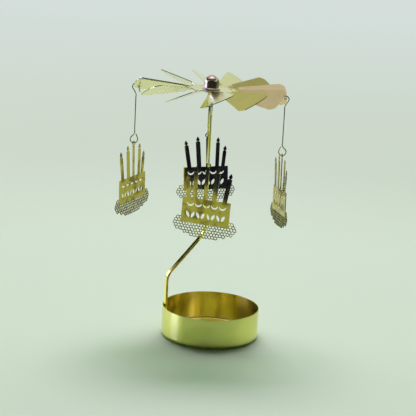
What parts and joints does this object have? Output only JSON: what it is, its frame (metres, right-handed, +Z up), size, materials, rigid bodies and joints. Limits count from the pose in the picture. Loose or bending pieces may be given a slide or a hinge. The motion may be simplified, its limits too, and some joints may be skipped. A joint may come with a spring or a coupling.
{
  "type": "rotary tealight holder",
  "caption": "Rotary tealight holder: a round cup, a cranked stem that rises to a point, a fan of twisted blades turning on it, and pierced pendants on wire hangers.",
  "frame": {"origin": "centre of the cup's flat underside, where the holder rests", "axes": "+Z up along the cup's axis, +X from the stem's root across the cup, +Y away from the picture's camera"},
  "size_m": [0.0717, 0.0681, 0.1125],
  "materials": {
    "cup_brass": "polished, pale yellow",
    "stem_brass": "polished",
    "fan_brass": "polished sheet, pale yellow",
    "cap_brass": "bright polished",
    "wire_brass": "drawn wire, satin",
    "pendant_brass": "polished sheet"
  },
  "bodies": {
    "base": {"cup": "cup_brass", "stem": "stem_brass"},
    "rotor": {"fan": "fan_brass", "pivot_cap": "cap_brass", "cap_eyelet": "cap_brass"},
    "hanger_right": {"hanger_right": "wire_brass"},
    "pendant_right": {"pendant_right": "pendant_brass"},
    "hanger_back": {"hanger_back": "wire_brass"},
    "pendant_back": {"pendant_back": "pendant_brass"},
    "hanger_left": {"hanger_left": "wire_brass"},
    "pendant_left": {"pendant_left": "pendant_brass"},
    "hanger_front": {"hanger_front": "wire_brass"},
    "pendant_front": {"pendant_front": "pendant_brass"}
  },
  "joints": [
    {"name": "fan_spin", "type": "hinge", "parent": "base", "child": "rotor", "pos_m": [-0.0043, 0, 0.1119], "axis": [0, 0, 1], "continuous": true},
    {"name": "hanger_right_swing", "type": "hinge", "parent": "rotor", "child": "hanger_right", "pos_m": [0.02652, 0, 0.1045], "axis": [0, -1, 0], "range_deg": [-15, 25]},
    {"name": "hanger_back_swing", "type": "hinge", "parent": "rotor", "child": "hanger_back", "pos_m": [-0.00456, 0.0311, 0.10569], "axis": [1, 0, 0], "range_deg": [-15, 25]},
    {"name": "hanger_left_swing", "type": "hinge", "parent": "rotor", "child": "hanger_left", "pos_m": [-0.03563, 0, 0.10688], "axis": [0, 1, 0], "range_deg": [-15, 25]},
    {"name": "hanger_front_swing", "type": "hinge", "parent": "rotor", "child": "hanger_front", "pos_m": [-0.00456, -0.0311, 0.10569], "axis": [-1, 0, 0], "range_deg": [-15, 25]},
    {"name": "pendant_right_swing", "type": "hinge", "parent": "hanger_right", "child": "pendant_right", "pos_m": [0.02652, 0, 0.07998], "axis": [1, 0, 0], "range_deg": [-25, 25]},
    {"name": "pendant_back_swing", "type": "hinge", "parent": "hanger_back", "child": "pendant_back", "pos_m": [-0.00456, 0.0311, 0.08118], "axis": [0, 1, 0], "range_deg": [-25, 25]},
    {"name": "pendant_left_swing", "type": "hinge", "parent": "hanger_left", "child": "pendant_left", "pos_m": [-0.03563, 0, 0.08237], "axis": [-1, 0, 0], "range_deg": [-25, 25]},
    {"name": "pendant_front_swing", "type": "hinge", "parent": "hanger_front", "child": "pendant_front", "pos_m": [-0.00456, -0.0311, 0.08118], "axis": [0, -1, 0], "range_deg": [-25, 25]}
  ]
}
